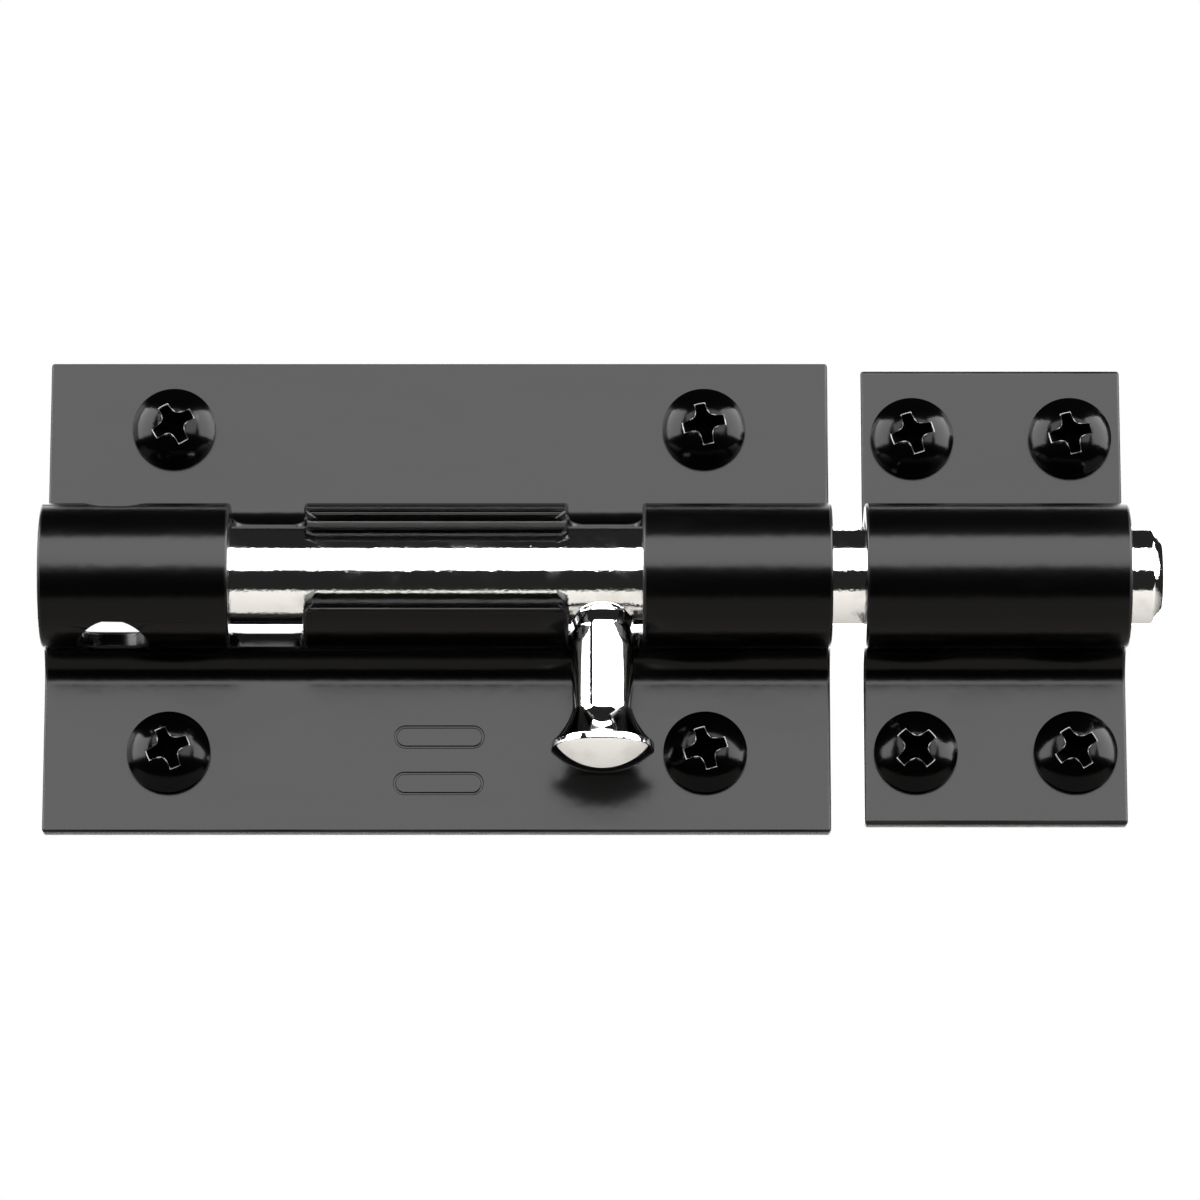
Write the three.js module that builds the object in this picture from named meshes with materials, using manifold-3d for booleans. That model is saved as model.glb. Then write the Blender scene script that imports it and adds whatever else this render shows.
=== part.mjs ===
// Surface-mounted barrel bolt with its separate keeper, shown thrown (locked).
//
// Frame: millimetres, +X along the bolt towards the keeper, +Y into the door, +Z up.
// The origin is the centre of the case's back face, so every plate's back lies in the plane Y = 0.
// A height "off the door" is a distance along -Y from that plane.

import * as THREE from 'three';
import { mergeVertices } from 'three/addons/utils/BufferGeometryUtils.js';
import Module from 'manifold-3d';

const wasm = await Module();
wasm.setup();

// ---------------------------------------------------------------- driving dimensions

const CLEAR = 0.3;                 // gap kept between pieces that touch

const SHEET = 2.2;                 // steel sheet of the case and the keeper
const BEND_RADIUS = 3.66;          // radius, on the front face, of the bend from barrel to flange
const NECK_LEAN = 13.7;            // degrees the barrel wraps round past its widest point, each side

const ROD_RADIUS = 6.35;
const ROD_CHAMFER = 1.3;
const ROD_PROUD = 4.2;             // how far the thrown rod stands out past the keeper
const ROD_TAIL_INSET = 10.7;       // how far the thrown rod's tail lies inside the case's left end
const ROD_AXIS_HEIGHT = 11.0;      // rod axis off the door
const BORE_CLEARANCE = 0.8;        // radial, between the rod and the inside of the barrel

const CASE_LENGTH = 101.6;
const CASE_HEIGHT = 63.4;
const CASE_SCREW_INSET_X = 16.2;   // screw centre from the case's end
const CASE_SCREW_SHARES = { lower: 0.468, upper: 0.53 };    // row's place: 0 at the flat's start, 1 at its edge

const KEEPER_LENGTH = 33.9;
const KEEPER_HEIGHT = 61.4;
const KEEPER_GAP = 4.3;            // between the case and the keeper
const KEEPER_SCREW_INSET_X = 6.65;
const KEEPER_SCREW_SHARES = { lower: 0.491, upper: 0.491 };

const KNOB_SCREW_GAP = 1.22;       // along X, between the thrown knob's rim and the screw head beside it
const SHANK_SIDE_CLEARANCE = 0.77; // each side of the knob's shank, in the slot and in a notch
const NOTCH_FLOOR_CLEARANCE = 0.5; // between the shank and the notch's floor
const NOTCH_CORNER_RADIUS = 2.0;

const PADLOCK_HOLE_RADIUS = 4.2;
const PADLOCK_HOLE_INSET = 9.4;    // hole centre from the case's left end
const PADLOCK_HOLE_OFFSET = 1.0;   // hole centre in front of the rod axis

const KNOB_SHANK_RADIUS = 4.0;
const KNOB_REACH = 26.0;           // rod axis to the top of the knob's dome
const KNOB_RIM_RADIUS = 6.65;
const KNOB_DOME_RISE = 2.6;
const KNOB_RIM_BAND = 0.9;         // length of the rim's straight band
const KNOB_FLARE_LENGTH = 4.4;     // from the shank to the rim
const KNOB_FLARE_POWER = 1.5;      // how sharply the flare opens towards the rim; 1 is a straight cone
const KNOB_NOTCH_SHIFT = 0.4;      // thrown knob stands this far inboard of the notch's centre

const SCREW_SHANK_RADIUS = 2.75;
const SCREW_LENGTH = 25.0;         // under the head
const SCREW_POINT_LENGTH = 5.0;
const SCREW_HEAD_RADIUS = 5.4;
const SCREW_HEAD_HEIGHT = 3.1;
const SCREW_HEAD_EDGE = 0.6;       // height of the head's straight edge
const RECESS_HALF_SPAN = 3.1;
const RECESS_ARM_WIDTH = 1.5;
const RECESS_DEPTH = 2.3;
const RECESS_FLOOR_SCALE = 0.35;   // recess width at its floor over its width at the mouth

const ARC_STEPS = 10;              // straight steps in each arc of the pressed section
const NOTCH_CORNER_STEPS = 3;
const KNOB_CURVE_STEPS = 6;        // along the flare, and along the dome
const SCREW_CROWN_STEPS = 5;
const ROD_SIDES = 48;
const KNOB_SIDES = 32;
const SCREW_SIDES = 24;
const HOLE_SIDES = 32;

// ---------------------------------------------------------------- worked out from the above

const QUARTER = Math.PI / 2;
const BARREL_INNER = ROD_RADIUS + BORE_CLEARANCE;
const BARREL_OUTER = BARREL_INNER + SHEET;

const WRAP = QUARTER + THREE.MathUtils.degToRad(NECK_LEAN);
const BEND_HEIGHT = SHEET + BEND_RADIUS;
const BEND_REACH = BARREL_OUTER + BEND_RADIUS;
const NECK = (ROD_AXIS_HEIGHT - BEND_HEIGHT + BEND_REACH * Math.cos(WRAP)) / Math.sin(WRAP);
const FLAT_START = BEND_REACH * Math.sin(WRAP) + NECK * Math.cos(WRAP);    // from the rod axis, up or down

const CASE_LEFT = -CASE_LENGTH / 2;
const CASE_RIGHT = CASE_LENGTH / 2;
const KEEPER_LEFT = CASE_RIGHT + KEEPER_GAP;
const KEEPER_RIGHT = KEEPER_LEFT + KEEPER_LENGTH;
const KEEPER_CENTRE = (KEEPER_LEFT + KEEPER_RIGHT) / 2;

const NOTCH_WIDTH = 2 * (KNOB_SHANK_RADIUS + SHANK_SIDE_CLEARANCE);
const SLOT_HALF_ANGLE = Math.asin((KNOB_SHANK_RADIUS + SHANK_SIDE_CLEARANCE) / BARREL_INNER);
const KNOB_X = CASE_RIGHT - CASE_SCREW_INSET_X - SCREW_HEAD_RADIUS - KNOB_SCREW_GAP - KNOB_RIM_RADIUS;
const NOTCH_CENTRE = KNOB_X + KNOB_NOTCH_SHIFT;
const NOTCH_FLOOR = ROD_AXIS_HEIGHT - KNOB_SHANK_RADIUS - NOTCH_FLOOR_CLEARANCE;

const SCREW_HOLE_RADIUS = SCREW_SHANK_RADIUS + CLEAR;
const CUT_OVERRUN = 5;             // how far a cutting solid runs past what it cuts
const WELD_DISTANCE = 1e-4;        // vertices closer than this are one

// ---------------------------------------------------------------- solids

/** Turns a closed three.js geometry into a manifold solid. */
function toSolid(geometry) {
  const bare = geometry.index ? geometry.toNonIndexed() : geometry.clone();
  bare.deleteAttribute('normal');
  bare.deleteAttribute('uv');
  const merged = mergeVertices(bare, WELD_DISTANCE);
  return new wasm.Manifold(new wasm.Mesh({
    numProp: 3,
    vertProperties: new Float32Array(merged.attributes.position.array),
    triVerts: new Uint32Array(merged.index.array),
  }));
}

/** Turns a manifold solid back into a three.js geometry. */
function toGeometry(solid) {
  const mesh = solid.getMesh();
  const geometry = new THREE.BufferGeometry();
  geometry.setAttribute('position', new THREE.BufferAttribute(new Float32Array(mesh.vertProperties), 3));
  geometry.setIndex(new THREE.BufferAttribute(new Uint32Array(mesh.triVerts), 1));
  geometry.computeVertexNormals();
  return geometry;
}

/** A round bar along `axis` ('y' or 'z'), centred on `centre`. */
function roundBar(radius, length, axis, centre) {
  const geometry = new THREE.CylinderGeometry(radius, radius, length, HOLE_SIDES);
  if (axis === 'z') geometry.rotateX(QUARTER);
  geometry.translate(centre.x, centre.y, centre.z);
  return geometry;
}

/** Places a shape drawn in (up, off the door) so that its extrusion runs along +X from `startX`. */
function alongX(shape, startX, length, steps) {
  const geometry = new THREE.ExtrudeGeometry(shape, {
    depth: length,
    bevelEnabled: false,
    curveSegments: steps,
  });
  const up = new THREE.Vector3(0, 0, 1);
  const offDoor = new THREE.Vector3(0, -1, 0);
  const along = new THREE.Vector3(1, 0, 0);
  geometry.applyMatrix4(new THREE.Matrix4().makeBasis(up, offDoor, along));
  geometry.translate(startX, 0, 0);
  return geometry;
}

/** Places a shape drawn in (along X, off the door) so that its extrusion runs along Z, centred. */
function alongZ(shape, length, steps) {
  const geometry = new THREE.ExtrudeGeometry(shape, {
    depth: length,
    bevelEnabled: false,
    curveSegments: steps,
  });
  geometry.translate(0, 0, -length / 2);
  geometry.rotateX(Math.PI);
  return geometry;
}

// ---------------------------------------------------------------- the pressed section

/**
 * The section that the case and the keeper share: two flanges and a barrel, all of one sheet.
 * The barrel's arc wraps past its widest point, and a straight neck joins it to each flange's bend.
 */
function sectionShape(height) {
  const shape = new THREE.Shape();
  shape.moveTo(-height / 2, 0);
  shape.lineTo(-height / 2, SHEET);
  shape.absarc(-FLAT_START, BEND_HEIGHT, BEND_RADIUS, -QUARTER, WRAP - QUARTER, false);
  shape.absarc(0, ROD_AXIS_HEIGHT, BARREL_OUTER, QUARTER + WRAP, QUARTER - WRAP, true);
  shape.absarc(FLAT_START, BEND_HEIGHT, BEND_RADIUS, 3 * QUARTER - WRAP, 3 * QUARTER, false);
  shape.lineTo(height / 2, SHEET);
  shape.lineTo(height / 2, 0);
  shape.absarc(FLAT_START, BEND_HEIGHT, BEND_RADIUS + SHEET, 3 * QUARTER, 3 * QUARTER - WRAP, true);
  shape.absarc(0, ROD_AXIS_HEIGHT, BARREL_INNER, QUARTER - WRAP, QUARTER + WRAP, false);
  shape.absarc(-FLAT_START, BEND_HEIGHT, BEND_RADIUS + SHEET, WRAP - QUARTER, -QUARTER, true);
  shape.closePath();
  return shape;
}

/** A plate's four screw places, as [x, z] pairs. */
function screwPlaces(left, right, height, insetX, shares) {
  const flat = height / 2 - FLAT_START;
  const rows = [-(FLAT_START + shares.lower * flat), FLAT_START + shares.upper * flat];
  return rows.flatMap((z) => [[left + insetX, z], [right - insetX, z]]);
}

/** One length of the section, with its screw holes. */
function pressedPlate(startX, length, height, places) {
  let solid = toSolid(alongX(sectionShape(height), startX, length, ARC_STEPS));
  for (const [x, z] of places) {
    const centre = new THREE.Vector3(x, -SHEET / 2, z);
    const hole = roundBar(SCREW_HOLE_RADIUS, SHEET + 2 * CUT_OVERRUN, 'y', centre);
    solid = solid.subtract(toSolid(hole));
  }
  return solid;
}

/** The block that parts the two lips, from the rod axis outwards. */
function slotBlock() {
  const half = BARREL_OUTER * Math.sin(SLOT_HALF_ANGLE);
  const far = ROD_AXIS_HEIGHT + BARREL_OUTER + CUT_OVERRUN;
  const shape = new THREE.Shape();
  shape.moveTo(-half, ROD_AXIS_HEIGHT);
  shape.lineTo(half, ROD_AXIS_HEIGHT);
  shape.lineTo(half, far);
  shape.lineTo(-half, far);
  shape.closePath();
  return alongX(shape, -NOTCH_CENTRE, 2 * NOTCH_CENTRE, 1);
}

/** One notch, cut through the barrel from above to below, with round corners at its floor. */
function notchCutter(centreX) {
  const half = NOTCH_WIDTH / 2;
  const top = ROD_AXIS_HEIGHT + BARREL_OUTER + CUT_OVERRUN;
  const corner = NOTCH_CORNER_RADIUS;
  const cornerHeight = NOTCH_FLOOR + corner;
  const shape = new THREE.Shape();
  shape.moveTo(centreX - half, top);
  shape.lineTo(centreX - half, cornerHeight);
  shape.absarc(centreX - half + corner, cornerHeight, corner, 2 * QUARTER, 3 * QUARTER, false);
  shape.absarc(centreX + half - corner, cornerHeight, corner, 3 * QUARTER, 4 * QUARTER, false);
  shape.lineTo(centreX + half, top);
  shape.closePath();
  return alongZ(shape, 2 * (BARREL_OUTER + CUT_OVERRUN), NOTCH_CORNER_STEPS);
}

// ---------------------------------------------------------------- pieces

const CASE_SCREWS = screwPlaces(
  CASE_LEFT, CASE_RIGHT, CASE_HEIGHT, CASE_SCREW_INSET_X, CASE_SCREW_SHARES,
);
const KEEPER_SCREWS = screwPlaces(
  KEEPER_LEFT, KEEPER_RIGHT, KEEPER_HEIGHT, KEEPER_SCREW_INSET_X, KEEPER_SCREW_SHARES,
);

function makeCase() {
  let solid = pressedPlate(CASE_LEFT, CASE_LENGTH, CASE_HEIGHT, CASE_SCREWS);
  solid = solid.subtract(toSolid(slotBlock()));
  for (const end of [-1, 1]) {
    solid = solid.subtract(toSolid(notchCutter(end * NOTCH_CENTRE)));
  }
  const holeCentre = new THREE.Vector3(
    CASE_LEFT + PADLOCK_HOLE_INSET,
    -(ROD_AXIS_HEIGHT + PADLOCK_HOLE_OFFSET),
    0,
  );
  const hole = roundBar(PADLOCK_HOLE_RADIUS, 2 * (BARREL_OUTER + CUT_OVERRUN), 'z', holeCentre);
  return toGeometry(solid.subtract(toSolid(hole)));
}

function makeKeeper() {
  return toGeometry(pressedPlate(KEEPER_LEFT, KEEPER_LENGTH, KEEPER_HEIGHT, KEEPER_SCREWS));
}

/** The rod, with its length along X and a chamfer at each end. */
function makeRod() {
  const tail = CASE_LEFT + ROD_TAIL_INSET;
  const tip = KEEPER_RIGHT + ROD_PROUD;
  const profile = [
    new THREE.Vector2(0, tail),
    new THREE.Vector2(ROD_RADIUS - ROD_CHAMFER, tail),
    new THREE.Vector2(ROD_RADIUS, tail + ROD_CHAMFER),
    new THREE.Vector2(ROD_RADIUS, tip - ROD_CHAMFER),
    new THREE.Vector2(ROD_RADIUS - ROD_CHAMFER, tip),
    new THREE.Vector2(0, tip),
  ];
  const geometry = new THREE.LatheGeometry(profile, ROD_SIDES);
  geometry.rotateZ(-QUARTER);
  return geometry;
}

/**
 * The knob: a round shank, a hollow flare, a short straight rim and a shallow dome.
 * Its own axis is +Y here, with the rod axis at 0. It starts clear of the barrel's outside.
 */
function makeKnob() {
  const start = BARREL_OUTER + CLEAR;
  const rimTop = KNOB_REACH - KNOB_DOME_RISE;
  const rimFoot = rimTop - KNOB_RIM_BAND;
  const flareFoot = rimFoot - KNOB_FLARE_LENGTH;
  const flareGrowth = KNOB_RIM_RADIUS - KNOB_SHANK_RADIUS;

  const profile = [new THREE.Vector2(0, start), new THREE.Vector2(KNOB_SHANK_RADIUS, start)];
  for (let i = 0; i <= KNOB_CURVE_STEPS; i += 1) {
    const share = i / KNOB_CURVE_STEPS;
    profile.push(new THREE.Vector2(
      KNOB_SHANK_RADIUS + flareGrowth * share ** KNOB_FLARE_POWER,
      flareFoot + KNOB_FLARE_LENGTH * share,
    ));
  }
  const domeRadius = (KNOB_RIM_RADIUS ** 2 + KNOB_DOME_RISE ** 2) / (2 * KNOB_DOME_RISE);
  const domeAngle = Math.asin(KNOB_RIM_RADIUS / domeRadius);
  for (let i = 0; i < KNOB_CURVE_STEPS; i += 1) {
    const angle = domeAngle * (1 - i / KNOB_CURVE_STEPS);
    profile.push(new THREE.Vector2(
      domeRadius * Math.sin(angle),
      KNOB_REACH - domeRadius * (1 - Math.cos(angle)),
    ));
  }
  profile.push(new THREE.Vector2(0, KNOB_REACH));
  return new THREE.LatheGeometry(profile, KNOB_SIDES);
}

/** The cross-shaped recess, drawn at the head's top and narrowing towards its floor. */
function recessCutter() {
  const arm = RECESS_ARM_WIDTH / 2;
  const span = RECESS_HALF_SPAN;
  const shape = new THREE.Shape();
  shape.moveTo(arm, arm);
  for (const [x, y] of [[1, 0], [0, -1], [-1, 0], [0, 1]]) {
    const sideX = -y * arm;
    const sideY = x * arm;
    shape.lineTo(x * span + sideX, y * span + sideY);
    shape.lineTo(x * span - sideX, y * span - sideY);
    shape.lineTo(x * arm - sideX, y * arm - sideY);
  }
  // The cutter runs as far above the head's top as below it, and goes on widening.
  const geometry = new THREE.ExtrudeGeometry(shape, { depth: 2 * RECESS_DEPTH, bevelEnabled: false });
  const position = geometry.attributes.position;
  for (let i = 0; i < position.count; i += 1) {
    const mouth = position.getZ(i) > RECESS_DEPTH;
    const scale = mouth ? 2 - RECESS_FLOOR_SCALE : RECESS_FLOOR_SCALE;
    position.setXY(i, position.getX(i) * scale, position.getY(i) * scale);
  }
  geometry.rotateX(-QUARTER);
  geometry.translate(0, SCREW_HEAD_HEIGHT - RECESS_DEPTH, 0);
  return geometry;
}

/** A pan-head wood screw along Y, with the underside of its head at 0 and its point at -length. */
function makeScrew() {
  const profile = [
    new THREE.Vector2(0, -SCREW_LENGTH),
    new THREE.Vector2(SCREW_SHANK_RADIUS, SCREW_POINT_LENGTH - SCREW_LENGTH),
    new THREE.Vector2(SCREW_SHANK_RADIUS, 0),
    new THREE.Vector2(SCREW_HEAD_RADIUS, 0),
    new THREE.Vector2(SCREW_HEAD_RADIUS, SCREW_HEAD_EDGE),
  ];
  const crownRise = SCREW_HEAD_HEIGHT - SCREW_HEAD_EDGE;
  for (let i = 1; i < SCREW_CROWN_STEPS; i += 1) {
    const angle = QUARTER * (i / SCREW_CROWN_STEPS);
    profile.push(new THREE.Vector2(
      SCREW_HEAD_RADIUS * Math.cos(angle),
      SCREW_HEAD_EDGE + crownRise * Math.sin(angle),
    ));
  }
  profile.push(new THREE.Vector2(0, SCREW_HEAD_HEIGHT));
  const solid = toSolid(new THREE.LatheGeometry(profile, SCREW_SIDES));
  return toGeometry(solid.subtract(toSolid(recessCutter())));
}

// ---------------------------------------------------------------- materials

const blackPaint = () => new THREE.MeshStandardMaterial({ color: 0x1c1b1a, roughness: 0.35, metalness: 0.1 });
const zincPlate = () => new THREE.MeshStandardMaterial({ color: 0xc9ccd0, roughness: 0.18, metalness: 1.0 });

// ---------------------------------------------------------------- assembly

const SCREW_TURNS = {              // how far each driven screw came to rest turned, in degrees
  screw_case_lower_left: 22,
  screw_case_lower_right: 17,
  screw_case_upper_left: 30,
  screw_case_upper_right: 12,
  screw_keeper_lower_left: 42,
  screw_keeper_lower_right: 32,
  screw_keeper_upper_left: 18,
  screw_keeper_upper_right: 14,
};

const bolt = new THREE.Group();

function addPiece(name, geometry, material, parent = bolt) {
  const mesh = new THREE.Mesh(geometry, material);
  mesh.name = name;
  parent.add(mesh);
  return mesh;
}

addPiece('case', makeCase(), blackPaint());
addPiece('keeper', makeKeeper(), blackPaint());

const rod = addPiece('bolt_rod', makeRod(), zincPlate());
rod.position.set(0, -ROD_AXIS_HEIGHT, 0);

const knob = addPiece('knob', makeKnob(), zincPlate());
knob.position.set(KNOB_X, -ROD_AXIS_HEIGHT, 0);
knob.rotation.x = -QUARTER;

function addScrews(owner, places) {
  for (const [x, z] of places) {
    const middle = owner === 'case' ? 0 : KEEPER_CENTRE;
    const name = `screw_${owner}_${z > 0 ? 'upper' : 'lower'}_${x > middle ? 'right' : 'left'}`;
    const seat = new THREE.Group();
    seat.position.set(x, -(SHEET + CLEAR), z);
    seat.rotation.x = Math.PI;
    bolt.add(seat);
    const screw = addPiece(name, makeScrew(), blackPaint(), seat);
    screw.rotation.y = THREE.MathUtils.degToRad(SCREW_TURNS[name]);
  }
}

addScrews('case', CASE_SCREWS);
addScrews('keeper', KEEPER_SCREWS);

export default bolt;
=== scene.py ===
"""Finished look of a surface-mounted barrel bolt: pressed case and keeper, sliding rod, knob and wood screws.

Lengths are metres, written as millimetres times MM. +X runs along the rod towards the keeper,
+Y goes into the door and +Z is up.
"""

import sys
import logging
import math
from contextlib import contextmanager
from dataclasses import dataclass, field
from enum import Enum
from typing import Callable, Iterator

import bmesh
import bpy
from mathutils import Matrix, Vector


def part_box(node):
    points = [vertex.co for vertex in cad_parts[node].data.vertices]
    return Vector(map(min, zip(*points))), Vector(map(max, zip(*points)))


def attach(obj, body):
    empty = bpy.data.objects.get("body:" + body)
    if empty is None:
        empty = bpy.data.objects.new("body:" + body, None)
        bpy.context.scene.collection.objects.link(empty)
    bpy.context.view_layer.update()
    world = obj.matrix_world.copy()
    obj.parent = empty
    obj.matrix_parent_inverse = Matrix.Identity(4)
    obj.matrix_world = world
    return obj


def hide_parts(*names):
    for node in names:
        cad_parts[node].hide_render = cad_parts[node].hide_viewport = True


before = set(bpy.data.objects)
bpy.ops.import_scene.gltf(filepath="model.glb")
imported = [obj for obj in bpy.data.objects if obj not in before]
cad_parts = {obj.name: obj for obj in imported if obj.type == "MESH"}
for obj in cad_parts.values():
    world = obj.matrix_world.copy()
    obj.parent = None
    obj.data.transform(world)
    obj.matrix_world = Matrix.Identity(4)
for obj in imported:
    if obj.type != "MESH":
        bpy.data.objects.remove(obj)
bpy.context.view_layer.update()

MM = 0.001
MICRON = 0.001 * MM
FULL_TURN = 2 * math.pi
QUARTER_TURN = math.pi / 2
X_AXIS = (1.0, 0.0, 0.0)
SNAP = 0.01 * MM          # places closer than this are the same place
OVERRUN = 6 * MM          # how far a cutting tool runs past what it cuts
EDGE_MARK = "rounded_edge"    # 1 on the faces that the edge rounding made, and 0 elsewhere
# 1 on the faces deep in a screw's recess, which are painted dark as shade, and 0 elsewhere
RECESS_SHADE_MARK = "deep_recess"

Colour = tuple[float, float, float]
Point = tuple[float, float, float]

log = logging.getLogger("barrel_bolt")


class Slot(Enum):
    """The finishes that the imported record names."""

    ENAMEL = "black_enamel"
    PLATING = "bright_plating"
    SCREW = "black_screw"


class Body(Enum):
    """The bodies that move apart from each other."""

    CASE = "case"
    BOLT = "bolt"
    KNOB = "knob"


class Picked(Enum):
    """What an edit-mode selection is made of."""

    VERTICES = "VERT"
    EDGES = "EDGE"
    FACES = "FACE"


# -------- shader recipes


class Value:
    """A number that varies over a surface, wrapping a node's output for use in expressions."""

    def __init__(self, recipe: "Recipe", socket: bpy.types.NodeSocket) -> None:
        """Keeps the recipe and the output socket that the value comes from."""
        self.recipe = recipe
        self.socket = socket

    def _math(self, operation: str, first: "Value | float", second: "Value | float") -> "Value":
        """Adds one Math node."""
        return self.recipe.node("ShaderNodeMath", {"operation": operation}, {0: first, 1: second})

    def __add__(self, other: "Value | float") -> "Value":
        """This plus other."""
        return self._math("ADD", self, other)

    __radd__ = __add__

    def __sub__(self, other: "Value | float") -> "Value":
        """This minus other."""
        return self._math("SUBTRACT", self, other)

    def __rsub__(self, other: "Value | float") -> "Value":
        """Other minus this."""
        return self._math("SUBTRACT", other, self)

    def __mul__(self, other: "Value | float") -> "Value":
        """This times other."""
        return self._math("MULTIPLY", self, other)

    __rmul__ = __mul__

    def above(self, edge: float, softness: float) -> "Value":
        """A mask that climbs from 0 to 1 as this passes an edge.

        Args:
            edge: where the mask is at its middle.
            softness: how wide the climb is.

        Returns:
            The mask.
        """
        low, high = edge - softness / 2, edge + softness / 2
        return self.recipe.node(
            "ShaderNodeMapRange",
            {"interpolation_type": "SMOOTHSTEP"},
            {"Value": self, "From Min": low, "From Max": high},
        )


class Recipe:
    """A material's node sheet, written one node at a time."""

    def __init__(self, name: str) -> None:
        """Starts a material with a Principled shader and nothing else."""
        self.material = bpy.data.materials.new(name)
        self.material.use_nodes = True
        self.tree = self.material.node_tree
        self.shader = self.tree.nodes["Principled BSDF"]

    def node(
        self,
        kind: str,
        settings: dict[str, object] | None = None,
        inputs: dict[str | int, object] | None = None,
        output: str | int = 0,
    ) -> Value:
        """Adds any node.

        Args:
            kind: the node's type.
            settings: its own settings, which are set first.
            inputs: a value or a link for each socket that isn't left as it is.
            output: the output that the result stands for.

        Returns:
            The output, wrapped.
        """
        made = self.tree.nodes.new(kind)
        for key, setting in (settings or {}).items():
            setattr(made, key, setting)
        for key, given in (inputs or {}).items():
            self.feed(made.inputs[key], given)
        return Value(self, made.outputs[output])

    def feed(self, socket: bpy.types.NodeSocket, given: object) -> None:
        """Links or sets one socket."""
        if isinstance(given, Value):
            self.tree.links.new(given.socket, socket)
        elif isinstance(given, tuple) and socket.type == "RGBA":
            socket.default_value = (*given, 1.0)
        else:
            socket.default_value = given

    def place(self, stretch: Point = (1.0, 1.0, 1.0)) -> Value:
        """Object coordinates, squeezed along each axis by a factor.

        Args:
            stretch: the factor along X, Y and Z; a small one draws a pattern out along that axis.

        Returns:
            The coordinates.
        """
        here = self.node("ShaderNodeTexCoord", output="Object")
        return self.node("ShaderNodeMapping", None, {"Vector": here, "Scale": stretch})

    def noise(self, size: float, detail: float = 2.0, stretch: Point = (1.0, 1.0, 1.0)) -> Value:
        """Cloudy noise from 0 to 1.

        Args:
            size: how far apart its lumps are.
            detail: how many finer layers it has.
            stretch: as for place().

        Returns:
            The noise.
        """
        inputs = {"Vector": self.place(stretch), "Scale": 1 / size, "Detail": detail}
        return self.node("ShaderNodeTexNoise", None, inputs)

    def blend(self, mask: Value, low: "Colour | Value", high: Colour) -> Value:
        """Mixes two colours by a mask."""
        return self.node("ShaderNodeMix", {"data_type": "RGBA"}, {0: mask, 6: low, 7: high}, 2)

    def marked(self, mark: str) -> Value:
        """A mark that the mesh carries on its faces."""
        return self.node("ShaderNodeAttribute", {"attribute_name": mark}, output="Fac")

    def mirror_strength(self, sheen: float) -> None:
        """Sets how strongly a bare gloss surface mirrors, on the shader's own scale."""
        self.shader.inputs["Specular IOR Level"].default_value = sheen

    def relief(self, height: Value, depth: float, under: Value | None = None) -> Value:
        """Turns a height into a bump of a real depth.

        Args:
            height: the pattern, from 0 to 1.
            depth: the drop from 1 to 0.
            under: a bump that this one lies on.

        Returns:
            The normal.
        """
        inputs: dict[str | int, object] = {"Height": height, "Distance": depth, "Strength": 1.0}
        if under:
            inputs["Normal"] = under
        return self.node("ShaderNodeBump", None, inputs)

    def finish(self, **sockets: object) -> bpy.types.Material:
        """Feeds the shader's sockets, named with underscores, and hands over the material."""
        for name, given in sockets.items():
            self.feed(self.shader.inputs[name.replace("_", " ").title()], given)
        return self.material


@dataclass(frozen=True)
class BlackEnamel:
    """Baked black paint on pressed steel: orange peel, handling marks and thin edges."""

    pigment: Colour = (0.00012, 0.00012, 0.00015)
    dusty: Colour = (0.0006, 0.00055, 0.0005)
    bare_edge: Colour = (0.006, 0.0057, 0.0054)
    sheen: float = 0.13           # the shader's own scale, where 0.5 is a plain varnish
    roughness: float = 0.21
    roughness_spread: float = 0.05
    peel_size: float = 1.8 * MM
    peel_depth: float = 24 * MICRON
    grain_size: float = 0.16 * MM
    grain_depth: float = 0.8 * MICRON
    scuff_size: float = 5.0 * MM
    scuff_stretch: Point = (0.25, 1.0, 1.0)

    def material(self) -> bpy.types.Material:
        """Makes the material."""
        recipe = Recipe(Slot.ENAMEL.value)
        scuffs = recipe.noise(self.scuff_size, 6.0, self.scuff_stretch).above(edge=0.62, softness=0.22)
        cloud = recipe.noise(self.peel_size * 9, 3.0)
        edge = recipe.marked(EDGE_MARK) * cloud.above(edge=0.45, softness=0.30)
        painted = recipe.blend(scuffs * 0.5 + cloud * 0.35, self.pigment, self.dusty)
        colour = recipe.blend(edge, painted, self.bare_edge)
        peel = recipe.relief(recipe.noise(self.peel_size, 1.0), self.peel_depth)
        grain = recipe.relief(recipe.noise(self.grain_size, 2.0), self.grain_depth, peel)
        rough = self.roughness + (cloud - 0.5) * self.roughness_spread + scuffs * 0.05 + edge * 0.10
        recipe.mirror_strength(self.sheen)
        return recipe.finish(base_color=colour, roughness=rough, normal=grain)


@dataclass(frozen=True)
class BrightPlating:
    """Bright plated steel, slightly pitted, with fine marks drawn out along X."""

    name: str = Slot.PLATING.value
    metal: Colour = (0.80, 0.805, 0.80)
    stained: Colour = (0.60, 0.60, 0.585)
    roughness: float = 0.03
    roughness_spread: float = 0.08
    pit_size: float = 0.38 * MM
    pit_depth: float = 20 * MICRON
    draw_size: float = 0.22 * MM
    draw_depth: float = 1.5 * MICRON
    draw_stretch: Point = (0.05, 1.0, 1.0)
    stain_size: float = 3.0 * MM

    def material(self) -> bpy.types.Material:
        """Makes the material."""
        recipe = Recipe(self.name)
        stain = recipe.noise(self.stain_size, 5.0).above(edge=0.60, softness=0.25)
        lines = recipe.noise(self.draw_size, 2.0, self.draw_stretch)
        pits = recipe.noise(self.pit_size, 3.0)
        drawn = recipe.relief(lines, self.draw_depth)
        pitted = recipe.relief(pits, self.pit_depth, drawn)
        colour = recipe.blend(stain * 0.55, self.metal, self.stained)
        rough = self.roughness + stain * self.roughness_spread + lines * 0.02
        return recipe.finish(base_color=colour, metallic=1.0, roughness=rough, normal=pitted)


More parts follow.
